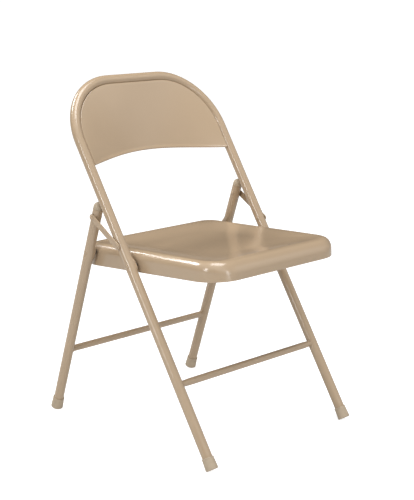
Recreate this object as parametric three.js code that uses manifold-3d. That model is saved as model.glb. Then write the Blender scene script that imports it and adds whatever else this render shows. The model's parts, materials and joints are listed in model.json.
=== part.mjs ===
// Steel folding chair: a bent tube frame that is front legs and back in one, a curved back panel,
// a pressed seat pan, two rear legs and two links that steady them.
// Millimetres, +Z up. The sitter faces -Y, so "left" (the sitter's left) is +X.
// The origin is on the floor, under the middle of the chair.

import * as THREE from "three";
import { mergeVertices } from "three/addons/utils/BufferGeometryUtils.js";
import Module from "manifold-3d";

const wasm = await Module();
wasm.setup();

const radians = THREE.MathUtils.degToRad;
const SIDES = { left: 1, right: -1 };

// ---------- driving dimensions ----------

const GAP = 0.3; // clearance between pieces that touch

const TUBE_RADIUS = 11.1; // 7/8 inch tube
const TUBE_WALL = 1.2;
const TUBE_FACETS = 16;

// Front frame, measured along its tube from the floor.
const FRAME_TILT = radians(33.44); // leans back from upright
const FRAME_FOOT_Y = -259.1;
const FRAME_FOOT_X = 214.6; // half spacing of the tube axes at the floor
const FRAME_TOP_X = 217.2; // half spacing where the bends start
const FRAME_TOP = 903.2; // axis of the straight top bar
const FRAME_BEND = 142.5; // bend radius of the axis at the two top corners

// Rear legs, measured along their tube from the floor.
const LEG_TILT = radians(17.16); // leans forward from upright
const LEG_FOOT_Y = 254.1;
const LEG_X = 217.4;
const LEG_END = 520.7;

// Pivots: distances along the front frame and along the rear legs.
const SEAT_PIVOT = 466.5;
const LINK_FRAME_PIVOT = 514.4;
const SEAT_LEG_PIVOT = 413.5;
const LINK_LEG_PIVOT = 500.9;

// Cross bars, distances along the front frame and along the rear legs.
const FRONT_BAR = 194.4;
const REAR_BAR = 160.6;
const BAR_RADIUS = 7.5;
const BAR_WALL = 1;

// Flats pressed in the tubes round the pivots.
const PRESS_FLAT = 6; // half length of the flat
const PRESS_END = 19; // half length with its run-outs
const SEAT_SIDE_FLAT = 8.8; // from the tube axis to the flat that faces the seat
const SEAT_SIDE_WIDEN = 0.22; // how much wider the tube gets on that side
const PRESS_CORNER = 1.6; // pushes the flat's corners out square
const DIMPLE_DEPTH = 1.2; // depth of the outer flat under a rivet head or a link
const DIMPLE_END = 11.4; // half length of the outer flat with its run-outs

// Seat pan, in its own frame: y runs back from the seat pivot, z is square to the skirt's lower edge.
const SEAT_SLOPE = radians(4.62); // the lower edge falls towards the back
const SEAT_HALF_WIDTH = 200;
const SEAT_FRONT = -242.8;
const SEAT_BACK = 180;
const SEAT_BOTTOM = -16;
const SEAT_RIM = 29.4; // rim height over the pivot
const SEAT_RIM_RISE = 0.0203; // the rim climbs this much for each millimetre back
const SEAT_CORNER_FRONT = 66;
const SEAT_CORNER_BACK = 45;
const SEAT_EDGE_RADIUS = 20;
const SEAT_RIM_WIDTH = 27;
const SEAT_FRONT_DROP = 7; // the front rim slopes down by this much
const SEAT_DISH = 6.5;
const SEAT_DISH_RUN = 75; // from the rim to the full depth of the dish
const SEAT_DISH_OPEN = 0.45; // the dish's corners open out by this share of the way in from the rim
const SEAT_MIDDLE = 6.5; // half width of the level patch in the middle of the dish
const SEAT_SHEET = 1.5;
const SEAT_HEM = 7; // the skirt's lower edge is turned in by this much
const REAR_PIVOT_INSET = 2.4; // the rim's rounding has begun at the rear pivot, so its rivet ends further in

// Back panel, in the front frame.
const PANEL_SHEET = 1.2;
const PANEL_INSET = 11; // from the tube axis to the panel's edge
const PANEL_FACE = 5.5; // the panel's edge stands this far in front of the tube axis
const PANEL_LOW_MIDDLE = 739.5; // lower edge on the centre line
const PANEL_LOW_RISE = 47; // the lower edge arches down to the sides
const PANEL_LOW_EASE = 9.3; // and flattens again towards the tube
const PANEL_BOW = 46; // depth of the hollow on the lower edge's centre line

// Links: pressed straps on the outer faces of the tubes.
const LINK_WIDTH = 14;
const LINK_SHEET = 2.4;
const LINK_OVERHANG = 8; // from a pivot to the rounded end
const LINK_INNER_FACE = 228.8; // distance from the chair's centre plane

// Rivets and spacers.
const SHANK_RADIUS = 3;
const HOLE_RADIUS = 3.3;
const HEAD_RADIUS = 4.25;
const SPACER_RADIUS = 6.5;
const TAIL_RADIUS = 4.2;
const TAIL_THICKNESS = 1.4;
const TAIL_SHANK = 2.2; // how far the rear tail's shank reaches into the tube's wall and hole
const SEAT_HEAD_DOME = 1.8; // height of the heads on the seat's pivots
const LINK_FRAME_HEAD_DOME = 1.2;
const LINK_LEG_HEAD_DOME = 2;
const RIVET_FACETS = 12;

// Plugs in the open tops of the rear legs.
const PLUG_DEPTH = 3;
const PLUG_BAND = 4; // straight part between the tube's end and the dome

// Foot caps, measured along the tube from the sole.
const CAP_HEIGHT = 26.8;
const CAP_SOLE_RADIUS = 13.7;
const CAP_TOP_RADIUS = 12.7;
const CAP_LIP = 0.35; // the mouth is thickened by this much
const CAP_LIP_START = 3; // below the mouth
const CAP_LIP_EDGE = 0.6; // chamfer at each end of the lip
const CAP_CLEARANCE = 0.4; // round the tube
const CAP_SOLE_THICKNESS = 5;
const CAP_ROUNDING = 2.4;
const CAP_FLAT_DEPTH = 0.8; // how deep the standing flat is worn into the sole's edge
const CAP_FACETS = 16;

// ---------- materials ----------

const paint = new THREE.MeshStandardMaterial({ color: 0xbda58a, roughness: 0.34, metalness: 0.1 });
const rubber = new THREE.MeshStandardMaterial({ color: 0xb6a184, roughness: 0.6, metalness: 0 });
const bush = new THREE.MeshStandardMaterial({ color: 0x4b4038, roughness: 0.6, metalness: 0 });

// ---------- geometry helpers ----------

// The solid inside a closed geometry.
function solidOf(geometry) {
  const bare = geometry.index ? geometry.toNonIndexed() : geometry.clone();
  bare.deleteAttribute("normal");
  bare.deleteAttribute("uv");
  const merged = mergeVertices(bare, 1e-4);
  const vertProperties = new Float32Array(merged.attributes.position.array);
  const triVerts = new Uint32Array(merged.index.array);
  return new wasm.Manifold(new wasm.Mesh({ numProp: 3, vertProperties, triVerts }));
}

function geometryOf(solid) {
  const { vertProperties, triVerts } = solid.getMesh();
  const geometry = new THREE.BufferGeometry();
  geometry.setAttribute("position", new THREE.BufferAttribute(vertProperties, 3));
  geometry.setIndex(new THREE.BufferAttribute(triVerts, 1));
  geometry.computeVertexNormals();
  return geometry;
}

function cut(geometry, cutters) {
  return geometryOf(cutters.reduce((solid, cutter) => solid.subtract(solidOf(cutter)), solidOf(geometry)));
}

// A drill along X through a point.
function drill(x, y, z, length = 40) {
  const geometry = new THREE.CylinderGeometry(HOLE_RADIUS, HOLE_RADIUS, length, RIVET_FACETS);
  geometry.rotateZ(Math.PI / 2);
  return geometry.translate(x, y, z);
}

// Joins rings of points into one closed skin. Rings all have the same number of points.
// A loop's last ring joins its first; otherwise the two end rings are closed by flat lids.
function skin(rings, { loop = false } = {}) {
  const count = rings[0].length;
  const points = rings.flat();
  const index = [];
  const spans = loop ? rings.length : rings.length - 1;
  for (let ring = 0; ring < spans; ring++) {
    const here = ring * count;
    const next = ((ring + 1) % rings.length) * count;
    for (let i = 0; i < count; i++) {
      const j = (i + 1) % count;
      index.push(here + i, here + j, next + j);
      index.push(here + i, next + j, next + i);
    }
  }
  if (!loop) {
    const last = (rings.length - 1) * count;
    for (let i = 1; i < count - 1; i++) {
      index.push(0, i + 1, i);
      index.push(last, last + i, last + i + 1);
    }
  }
  const geometry = new THREE.BufferGeometry();
  geometry.setAttribute("position", new THREE.Float32BufferAttribute(points.flatMap((p) => p.toArray()), 3));
  geometry.setIndex(index);
  geometry.computeVertexNormals();
  return geometry;
}

// ---------- tubes with pressed flats ----------

// 1 on a pivot's flat, easing to 0 at its run-out.
function press(distance, flat, end) {
  return 1 - THREE.MathUtils.smoothstep(Math.abs(distance), flat, end);
}

// One point of the tube's section: u points to the seat, v to the back of the chair.
// seatFlats and dimples are the places along the tube that are pressed on either side.
function sectionPoint(angle, radius, along, { seatFlats, dimples }) {
  const trim = TUBE_RADIUS - radius;
  let u = radius * Math.cos(angle);
  let v = radius * Math.sin(angle);
  for (const at of seatFlats) {
    const amount = press(along - at, PRESS_FLAT, PRESS_END);
    if (u > 0) {
      u = THREE.MathUtils.lerp(u, Math.min(u * PRESS_CORNER, SEAT_SIDE_FLAT - trim), amount);
    }
    v *= 1 + (SEAT_SIDE_WIDEN * amount * (1 + Math.cos(angle))) / 2;
  }
  for (const at of dimples) {
    const amount = press(along - at, PRESS_FLAT, DIMPLE_END);
    u = Math.max(u, -(radius - DIMPLE_DEPTH * amount));
  }
  return { u, v };
}

// Stations along a straight leg, close together round each pivot.
function legStations(start, end, pivots) {
  const near = [-1, -0.65, -0.32, 0, 0.32, 0.65, 1].map((share) => share * PRESS_END);
  return [start, ...pivots.flatMap((at) => near.map((step) => at + step)), end];
}

// A hollow tube through stations { centre, inward, along }: inward is the unit vector of u.
function hollowTube(stations, presses) {
  const ring = (station, radius) =>
    Array.from({ length: TUBE_FACETS }, (_, i) => {
      const { u, v } = sectionPoint((i * 2 * Math.PI) / TUBE_FACETS, radius, station.along, presses);
      return station.centre.clone().addScaledVector(station.inward, u).setY(station.centre.y + v);
    });
  const outer = stations.map((station) => ring(station, TUBE_RADIUS));
  const inner = stations.map((station) => ring(station, TUBE_RADIUS - TUBE_WALL)).reverse();
  return skin([...outer, ...inner], { loop: true });
}

// Half spacing of the front frame's two legs at a distance along them.
function frameX(along) {
  return THREE.MathUtils.mapLinear(along, 0, FRAME_TOP - FRAME_BEND, FRAME_FOOT_X, FRAME_TOP_X);
}

// Where the tube ends inside its cap: the sole's standing flat touches the floor.
function soleStart(tilt) {
  const [c, s] = [Math.cos(tilt), Math.sin(tilt)];
  return (CAP_SOLE_RADIUS * s - CAP_ROUNDING * (c + s - 1) - CAP_FLAT_DEPTH) / c;
}

function tubeStart(tilt) {
  return soleStart(tilt) + CAP_SOLE_THICKNESS + GAP;
}

function frameTube() {
  const bendStart = FRAME_TOP - FRAME_BEND;
  const leg = (side) =>
    legStations(tubeStart(FRAME_TILT), bendStart, [SEAT_PIVOT, LINK_FRAME_PIVOT]).map((along) => ({
      centre: new THREE.Vector3(side * frameX(along), 0, along),
      inward: new THREE.Vector3(-side, 0, 0),
      along,
    }));
  const bendSteps = 9;
  const bend = (side) =>
    Array.from({ length: bendSteps }, (_, i) => {
      const angle = ((i + 1) / bendSteps) * (Math.PI / 2);
      const inward = new THREE.Vector3(-side * Math.cos(angle), 0, -Math.sin(angle));
      const corner = new THREE.Vector3(side * (FRAME_TOP_X - FRAME_BEND), 0, bendStart);
      return { centre: corner.addScaledVector(inward, -FRAME_BEND), inward, along: FRAME_TOP };
    });
  const right = [...leg(-1), ...bend(-1)];
  const left = [...leg(1), ...bend(1)].reverse();
  const presses = { seatFlats: [SEAT_PIVOT], dimples: [SEAT_PIVOT, LINK_FRAME_PIVOT] };
  const holes = Object.values(SIDES).flatMap((side) =>
    [SEAT_PIVOT, LINK_FRAME_PIVOT].map((along) => drill(side * frameX(along), 0, along)),
  );
  return cut(hollowTube([...right, ...left], presses), holes);
}

function rearLegTube(side) {
  const pivots = [SEAT_LEG_PIVOT, LINK_LEG_PIVOT];
  const stations = legStations(tubeStart(LEG_TILT), LEG_END, pivots).map((along) => ({
    centre: new THREE.Vector3(side * LEG_X, 0, along),
    inward: new THREE.Vector3(-side, 0, 0),
    along,
  }));
  const tube = hollowTube(side > 0 ? stations.reverse() : stations, {
    seatFlats: [SEAT_LEG_PIVOT],
    dimples: pivots,
  });
  return cut(tube, pivots.map((along) => drill(side * LEG_X, 0, along)));
}

// ---------- back panel ----------

// Height of the panel's lower edge at x.
function panelLowEdge(x, halfWidth) {
  const q = (x / halfWidth) ** 2;
  return PANEL_LOW_MIDDLE - PANEL_LOW_RISE * q + PANEL_LOW_EASE * q * q;
}

// Columns across the panel, as { x, top }: straight under the top bar, then round the bends.
function panelColumns() {
  const bendRadius = FRAME_BEND - PANEL_INSET;
  const bendX = FRAME_TOP_X - FRAME_BEND;
  const bendZ = FRAME_TOP - FRAME_BEND;
  const bendSteps = 8;
  const right = Array.from({ length: bendSteps }, (_, i) => {
    const angle = (1 - i / bendSteps) * (Math.PI / 2);
    return { x: -bendX - bendRadius * Math.sin(angle), top: bendZ + bendRadius * Math.cos(angle) };
  });
  const middle = [-1, -0.5, 0, 0.5, 1].map((share) => ({ x: share * bendX, top: bendZ + bendRadius }));
  const left = right.map(({ x, top }) => ({ x: -x, top })).reverse();
  return [...right, ...middle, ...left];
}

function backPanel() {
  const columns = panelColumns();
  const halfWidth = columns.at(-1).x;
  const rows = 7;
  const column = ({ x, top }, face) =>
    Array.from({ length: rows }, (_, i) => {
      const up = i / (rows - 1);
      const low = panelLowEdge(x, halfWidth);
      const hollow = PANEL_BOW * (1 - (x / halfWidth) ** 2) * (1 - up);
      return new THREE.Vector3(x, hollow - face, THREE.MathUtils.lerp(low, top, up));
    });
  const rings = columns.map((place) => [
    ...column(place, PANEL_FACE - PANEL_SHEET),
    ...column(place, PANEL_FACE).reverse(),
  ]);
  return skin(rings);
}

// ---------- seat pan ----------

// Points of the seat's rounded outline moved in by d, counter-clockwise from above.
function seatOutline(d) {
  const arcSteps = 6;
  const sideSteps = 6;
  const corners = [
    { x: 1, y: SEAT_BACK, radius: SEAT_CORNER_BACK, from: 0 },
    { x: -1, y: SEAT_BACK, radius: SEAT_CORNER_BACK, from: 90 },
    { x: -1, y: SEAT_FRONT, radius: SEAT_CORNER_FRONT, from: 180 },
    { x: 1, y: SEAT_FRONT, radius: SEAT_CORNER_FRONT, from: 270 },
  ];
  const arcs = corners.map(({ x, y, radius, from }) => {
    const opened = radius - Math.min(d, SEAT_RIM_WIDTH) + SEAT_DISH_OPEN * Math.max(d - SEAT_RIM_WIDTH, 0);
    const reach = Math.min(opened, SEAT_HALF_WIDTH - d - 1);
    const inset = d + reach;
    const centre = new THREE.Vector2(x * (SEAT_HALF_WIDTH - inset), y - Math.sign(y) * inset);
    return Array.from({ length: arcSteps + 1 }, (_, i) => {
      const angle = radians(from + (90 * i) / arcSteps);
      return new THREE.Vector2(Math.cos(angle), Math.sin(angle)).multiplyScalar(reach).add(centre);
    });
  });
  return arcs.flatMap((arc, i) => {
    const start = arc.at(-1);
    const end = arcs[(i + 1) % arcs.length][0];
    const shares = Array.from({ length: sideSteps - 1 }, (_, k) => (k + 1) / sideSteps);
    const side = shares.map((share) => start.clone().lerp(end, share));
    return [...arc, ...side];
  });
}

// Height of the seat's top face at a plan point that lies d inside the outline.
function seatTop(point, d) {
  const rim = SEAT_RIM + SEAT_RIM_RISE * point.y;
  const round = Math.max(SEAT_EDGE_RADIUS - d, 0);
  const edge = SEAT_EDGE_RADIUS - Math.sqrt(SEAT_EDGE_RADIUS ** 2 - round ** 2);
  const run = THREE.MathUtils.clamp((d - SEAT_RIM_WIDTH) / SEAT_DISH_RUN, 0, 1);
  const dish = SEAT_DISH * (1 - (1 - run) ** 2);
  const toFront = THREE.MathUtils.clamp((point.y - SEAT_FRONT) / SEAT_RIM_WIDTH, 0, 1);
  const frontDrop = SEAT_FRONT_DROP * (1 - toFront);
  return rim - edge - dish - frontDrop;
}

// The pan is a sheet: its skin runs from the middle of the underside, out and down inside the skirt,
// round the turned-in hem, then up the outside and back to the middle of the top.
function seatPan(pivots) {
  const ring = (d, height) => seatOutline(d).map((p) => new THREE.Vector3(p.x, p.y, height(p)));
  const roundSteps = [0.07, 0.25, 0.5, 1].map((share) => share * SEAT_EDGE_RADIUS);
  const dishSteps = [0.2, 0.45, 0.75, 1].map((share) => SEAT_RIM_WIDTH + share * SEAT_DISH_RUN);
  const steps = [...roundSteps, SEAT_RIM_WIDTH, ...dishSteps, SEAT_HALF_WIDTH - SEAT_MIDDLE];
  const underside = steps.map((d) => ring(Math.max(d, SEAT_SHEET), (p) => seatTop(p, d) - SEAT_SHEET));
  const sheet = [
    ...underside.reverse(),
    ring(SEAT_SHEET, (p) => seatTop(p, 0) - SEAT_SHEET),
    ring(SEAT_SHEET, () => SEAT_BOTTOM + SEAT_SHEET),
    ring(SEAT_HEM, () => SEAT_BOTTOM + SEAT_SHEET),
    ring(SEAT_HEM, () => SEAT_BOTTOM),
    ring(0, () => SEAT_BOTTOM),
    ring(0, (p) => seatTop(p, 0)),
    ...steps.map((d) => ring(d, (p) => seatTop(p, d))),
  ];
  const holes = Object.values(SIDES).flatMap((side) =>
    pivots.map(({ y, z }) => drill(side * SEAT_HALF_WIDTH, y, z, 10)),
  );
  return cut(skin(sheet), holes);
}

// ---------- turned pieces ----------

// Turns a profile of [radius, height] pairs about Z.
function turned(profile, facets) {
  const geometry = new THREE.LatheGeometry(profile.map(([r, h]) => new THREE.Vector2(r, h)), facets);
  return geometry.rotateX(Math.PI / 2);
}

// Turns a profile about X, with its heights measured outwards from the chair's centre plane.
function turnedAcross(profile, facets, side) {
  return turned(profile, facets).rotateY((side * Math.PI) / 2);
}

// A rivet across a pivot: a low head outside, a shank, and a flat tail inside.
function rivet(side, { tail, shankStart, headStart, dome }) {
  const head = [0.45, 0.8, 1].map((share) => {
    const lift = Math.sin((share * Math.PI) / 2);
    const radius = HEAD_RADIUS * Math.cos((share * Math.PI) / 2);
    return [share === 1 ? 0 : radius, headStart + dome * lift];
  });
  const foot =
    tail === undefined ? [[0, shankStart]] : [[0, tail], [TAIL_RADIUS, tail], [TAIL_RADIUS, shankStart]];
  const shank = [[SHANK_RADIUS, shankStart], [SHANK_RADIUS, headStart]];
  const profile = [...foot, ...shank, [HEAD_RADIUS, headStart], ...head];
  return turnedAcross(profile, RIVET_FACETS, side);
}

// A ring across a pivot, from one distance to another.
function spacer(side, from, to) {
  const profile = [
    [HOLE_RADIUS, from],
    [SPACER_RADIUS, from],
    [SPACER_RADIUS, to],
    [HOLE_RADIUS, to],
    [HOLE_RADIUS, from],
  ];
  return turnedAcross(profile, RIVET_FACETS, side);
}

function crossBar(halfLength) {
  const bore = BAR_RADIUS - BAR_WALL;
  const profile = [
    [bore, -halfLength],
    [BAR_RADIUS, -halfLength],
    [BAR_RADIUS, halfLength],
    [bore, halfLength],
    [bore, -halfLength],
  ];
  return turnedAcross(profile, TUBE_FACETS, 1);
}

// A foot cap along its leg. The leg leans by tilt, and the cap's standing flat is level with the floor.
function footCap(tilt) {
  const sole = soleStart(Math.abs(tilt));
  const mouth = sole + CAP_HEIGHT;
  const socket = TUBE_RADIUS + CAP_CLEARANCE;
  const rounding = [0, 0.33, 0.67, 1].map((share) => {
    const angle = (share * Math.PI) / 2;
    const inset = CAP_ROUNDING * (1 - Math.sin(angle));
    return [CAP_SOLE_RADIUS - inset, sole + CAP_ROUNDING * (1 - Math.cos(angle))];
  });
  const profile = [
    [0, sole],
    ...rounding,
    [CAP_TOP_RADIUS, mouth - CAP_LIP_START],
    [CAP_TOP_RADIUS + CAP_LIP, mouth - CAP_LIP_START + CAP_LIP_EDGE],
    [CAP_TOP_RADIUS + CAP_LIP, mouth - CAP_LIP_EDGE],
    [CAP_TOP_RADIUS, mouth],
    [socket, mouth],
    [socket, sole + CAP_SOLE_THICKNESS],
    [0, sole + CAP_SOLE_THICKNESS],
  ];
  const floor = new THREE.BoxGeometry(60, 60, 40).translate(0, 0, -20).rotateX(-tilt);
  return cut(turned(profile, CAP_FACETS), [floor]);
}

// The domed plug in a rear leg's open top.
function legPlug() {
  const stem = TUBE_RADIUS - TUBE_WALL - GAP;
  const shoulder = LEG_END + GAP;
  const domeStart = shoulder + PLUG_BAND;
  const dome = [0.25, 0.5, 0.75, 1].map((share) => {
    const angle = (share * Math.PI) / 2;
    return [share === 1 ? 0 : TUBE_RADIUS * Math.cos(angle), domeStart + TUBE_RADIUS * Math.sin(angle)];
  });
  const profile = [
    [0, LEG_END - PLUG_DEPTH],
    [stem, LEG_END - PLUG_DEPTH],
    [stem, shoulder],
    [TUBE_RADIUS, shoulder],
    [TUBE_RADIUS, domeStart],
    ...dome,
  ];
  return turned(profile, TUBE_FACETS);
}

// A link between two pivots, both given as { y, z }.
function link(side, from, to) {
  const span = new THREE.Vector3(0, to.y - from.y, to.z - from.z);
  const length = span.length();
  const half = LINK_WIDTH / 2;
  const reach = LINK_OVERHANG - half;
  const outline = new THREE.Shape();
  outline.absarc(length + reach, 0, half, -Math.PI / 2, Math.PI / 2, false);
  outline.absarc(-reach, 0, half, Math.PI / 2, (3 * Math.PI) / 2, false);
  outline.closePath();
  for (const at of [0, length]) {
    outline.holes.push(new THREE.Path().absarc(at, 0, HOLE_RADIUS, 0, 2 * Math.PI, true));
  }
  const sheet = { depth: LINK_SHEET, bevelEnabled: false, curveSegments: 8 };
  const geometry = new THREE.ExtrudeGeometry(outline, sheet);
  const along = span.normalize();
  const outwards = new THREE.Vector3(side, 0, 0);
  const across = outwards.clone().cross(along);
  const pose = new THREE.Matrix4().makeBasis(along, across, outwards);
  pose.setPosition(side * LINK_INNER_FACE, from.y, from.z);
  return geometry.applyMatrix4(pose);
}

// ---------- pivots in the chair's own frame ----------

function onFrame(along) {
  return { y: FRAME_FOOT_Y + along * Math.sin(FRAME_TILT), z: along * Math.cos(FRAME_TILT) };
}

function onLeg(along) {
  return { y: LEG_FOOT_Y - along * Math.sin(LEG_TILT), z: along * Math.cos(LEG_TILT) };
}

const seatPivot = onFrame(SEAT_PIVOT);
const linkFramePivot = onFrame(LINK_FRAME_PIVOT);
const seatLegPivot = onLeg(SEAT_LEG_PIVOT);
const linkLegPivot = onLeg(LINK_LEG_PIVOT);

// A pivot in the seat's frame.
function onSeat({ y, z }) {
  const [dy, dz] = [y - seatPivot.y, z - seatPivot.z];
  const [c, s] = [Math.cos(SEAT_SLOPE), Math.sin(SEAT_SLOPE)];
  return { y: dy * c - dz * s, z: dy * s + dz * c };
}

// ---------- assembly ----------

const chair = new THREE.Group();
chair.name = "folding_chair";

const frame = new THREE.Group();
frame.position.y = FRAME_FOOT_Y;
frame.rotation.x = -FRAME_TILT;

const rear = new THREE.Group();
rear.position.y = LEG_FOOT_Y;
rear.rotation.x = LEG_TILT;

const seat = new THREE.Group();
seat.position.set(0, seatPivot.y, seatPivot.z);
seat.rotation.x = -SEAT_SLOPE;

chair.add(frame, rear, seat);

function add(parent, name, geometry, material, [x, y, z] = [0, 0, 0]) {
  const mesh = new THREE.Mesh(geometry, material);
  mesh.name = name;
  mesh.position.set(x, y, z);
  parent.add(mesh);
}

const skirtFace = SEAT_HALF_WIDTH + GAP;
const skirtInside = SEAT_HALF_WIDTH - SEAT_SHEET - GAP;
const linkOutside = LINK_INNER_FACE + LINK_SHEET + GAP;

add(frame, "back_frame_tube", frameTube(), paint);
add(frame, "back_panel", backPanel(), paint);
const frontBarLength = frameX(FRONT_BAR) - TUBE_RADIUS - GAP;
add(frame, "front_cross_bar", crossBar(frontBarLength), paint, [0, 0, FRONT_BAR]);
add(rear, "rear_cross_bar", crossBar(LEG_X - TUBE_RADIUS - GAP), paint, [0, 0, REAR_BAR]);
add(seat, "seat_pan", seatPan([{ y: 0, z: 0 }, onSeat(seatLegPivot)]), paint);

for (const [name, side] of Object.entries(SIDES)) {
  const frameAxis = frameX(SEAT_PIVOT);
  const linkAxis = frameX(LINK_FRAME_PIVOT);

  add(rear, `rear_leg_${name}`, rearLegTube(side), paint);
  add(rear, `rear_leg_plug_${name}`, legPlug(), paint, [side * LEG_X, 0, 0]);
  add(rear, `rear_foot_cap_${name}`, footCap(LEG_TILT), rubber, [side * LEG_X, 0, 0]);
  add(frame, `front_foot_cap_${name}`, footCap(-FRAME_TILT), rubber, [side * FRAME_FOOT_X, 0, 0]);

  const seatToFrame = spacer(side, skirtFace, frameAxis - SEAT_SIDE_FLAT - GAP);
  add(chair, `front_seat_spacer_${name}`, seatToFrame, bush, [0, seatPivot.y, seatPivot.z]);
  const seatToLeg = spacer(side, skirtFace, LEG_X - SEAT_SIDE_FLAT - GAP);
  add(chair, `rear_seat_spacer_${name}`, seatToLeg, bush, [0, seatLegPivot.y, seatLegPivot.z]);

  const frontSeatRivet = rivet(side, {
    tail: skirtInside - TAIL_THICKNESS,
    shankStart: skirtInside,
    headStart: frameAxis + TUBE_RADIUS - DIMPLE_DEPTH + GAP,
    dome: SEAT_HEAD_DOME,
  });
  add(chair, `front_seat_rivet_${name}`, frontSeatRivet, paint, [0, seatPivot.y, seatPivot.z]);

  const rearSeatRivet = rivet(side, {
    tail: skirtInside - TAIL_THICKNESS - REAR_PIVOT_INSET,
    shankStart: skirtInside - REAR_PIVOT_INSET,
    headStart: LEG_X + TUBE_RADIUS - DIMPLE_DEPTH + GAP,
    dome: SEAT_HEAD_DOME,
  });
  add(chair, `rear_seat_rivet_${name}`, rearSeatRivet, paint, [0, seatLegPivot.y, seatLegPivot.z]);

  add(chair, `link_${name}`, link(side, linkFramePivot, linkLegPivot), paint);
  const tubeInside = linkAxis - TUBE_RADIUS - GAP;
  const linkFrameRivet = rivet(side, {
    tail: tubeInside - TAIL_THICKNESS,
    shankStart: tubeInside,
    headStart: linkOutside,
    dome: LINK_FRAME_HEAD_DOME,
  });
  add(chair, `link_frame_rivet_${name}`, linkFrameRivet, paint, [0, linkFramePivot.y, linkFramePivot.z]);

  const linkLegRivet = rivet(side, {
    shankStart: LINK_INNER_FACE + GAP,
    headStart: linkOutside,
    dome: LINK_LEG_HEAD_DOME,
  });
  add(chair, `link_leg_rivet_${name}`, linkLegRivet, paint, [0, linkLegPivot.y, linkLegPivot.z]);

  const legTail = LEG_X - TUBE_RADIUS - GAP;
  const tailProfile = [
    [0, legTail - TAIL_THICKNESS],
    [TAIL_RADIUS, legTail - TAIL_THICKNESS],
    [TAIL_RADIUS, legTail],
    [SHANK_RADIUS, legTail],
    [SHANK_RADIUS, legTail + TAIL_SHANK],
    [0, legTail + TAIL_SHANK],
  ];
  const linkTail = turnedAcross(tailProfile, RIVET_FACETS, side);
  add(chair, `link_rivet_tail_${name}`, linkTail, paint, [0, linkLegPivot.y, linkLegPivot.z]);
}

export default chair;
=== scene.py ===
"""Steel folding chair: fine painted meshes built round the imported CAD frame.

With a studio floor, light and camera. Shapes are in millimetres; the scene is in metres.
"""

import json
import math

import bpy
from mathutils import Matrix, Vector


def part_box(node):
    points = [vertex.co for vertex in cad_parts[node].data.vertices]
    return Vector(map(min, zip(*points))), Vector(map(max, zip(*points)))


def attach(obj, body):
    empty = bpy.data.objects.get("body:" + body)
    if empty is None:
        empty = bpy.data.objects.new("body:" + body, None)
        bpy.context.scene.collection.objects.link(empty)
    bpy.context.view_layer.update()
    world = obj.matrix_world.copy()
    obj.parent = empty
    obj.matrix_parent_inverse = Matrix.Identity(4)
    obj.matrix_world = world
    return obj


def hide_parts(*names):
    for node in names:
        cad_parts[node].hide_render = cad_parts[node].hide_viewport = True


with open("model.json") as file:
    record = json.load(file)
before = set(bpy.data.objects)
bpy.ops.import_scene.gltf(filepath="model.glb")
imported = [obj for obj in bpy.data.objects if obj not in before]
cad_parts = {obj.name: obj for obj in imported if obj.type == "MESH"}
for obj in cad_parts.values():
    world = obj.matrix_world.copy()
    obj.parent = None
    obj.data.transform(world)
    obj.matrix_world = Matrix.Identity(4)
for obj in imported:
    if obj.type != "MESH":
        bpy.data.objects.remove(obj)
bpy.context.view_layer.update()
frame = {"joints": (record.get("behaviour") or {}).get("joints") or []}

MM = 0.001
SIDES = {"left": 1, "right": -1}

# ---------- dimensions, in millimetres ----------

TUBE_RADIUS = 11.1
TUBE_FACETS = 72
PRESS_FLAT = 6  # half length of a flat pressed round a pivot
PRESS_END = 19  # half length with its run-outs
DIMPLE_END = 11.4  # the same for the dimple on the outer side
PRESS_MARGIN = 3  # the tube's rings stay close together this far past a flat
FINE_STEP = 1.5  # between rings at a pivot
COARSE_STEP = 14  # between rings elsewhere
SEAT_SIDE_FLAT = 8.8  # from the tube's axis to the flat that faces the seat
SEAT_SIDE_WIDEN = 0.22
PRESS_CORNER = 1.6  # pushes the flat's corners out square
DIMPLE_DEPTH = 1.2
CAP_INSIDE = 14  # how far up the tube's end sits inside its cap

FRAME_FOOT_X = 214.6
FRAME_TOP_X = 217.2
FRAME_TOP = 903.2
FRAME_BEND = 142.5
LEG_X = 217.4
LEG_END = 520.7

BAR_RADIUS = 7.5
BAR_FACETS = 48
BAR_SINK = 0.4  # how far the bar's end goes into the tube's wall
BAR_END = 0.89  # the bar starts to flatten at this share of its half length
BAR_FLATTEN = 0.1  # flattened by this share at its end
WELD_RADIUS = 1.15
WELD_SINK = 0.25  # how far the bead is drawn back along the bar

SEAT_SLOPE = math.radians(4.62)
SEAT_HALF_WIDTH = 200
SEAT_FRONT = -242.8
SEAT_BACK = 180
SEAT_BOTTOM = -16
SEAT_RIM = 29.4
SEAT_RIM_RISE = 0.0203
SEAT_CORNER_FRONT = 66
SEAT_CORNER_BACK = 45
SEAT_EDGE_RADIUS = 20
SEAT_RIM_WIDTH = 27
SEAT_FRONT_DROP = 7
SEAT_DISH = 6.5
SEAT_DISH_RUN = 75  # from the rim to the full depth of the dish
SEAT_DISH_OPEN = 0.45  # the dish's corners open out by this share of the way in from the rim
SEAT_DISH_SOFT = 12  # how gently the rim turns down into the dish
SEAT_SHEET = 1.5

PANEL_SHEET = 1.2
PANEL_FACE = 5.5  # the panel's edge stands this far in front of the tube's axis
PANEL_EDGE_ROUND = 2.2
PANEL_EDGE_GAP = 0.15
PANEL_LOW_MIDDLE = 739.5  # lower edge on the centre line
PANEL_LOW_RISE = 47
PANEL_LOW_EASE = 9.3
PANEL_BOW = 46
HEM_LIFT = 5.3  # the sheet ends this far up, and the hem fills the rest
HEM_ROLL = 2.3
HEM_STEP = 0.62  # the hem stands this far in front of the sheet
HEM_START = 2.4

LINK_WIDTH = 14
LINK_SHEET = 2.4
LINK_OVERHANG = 8
LINK_INNER_FACE = 228.8

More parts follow.
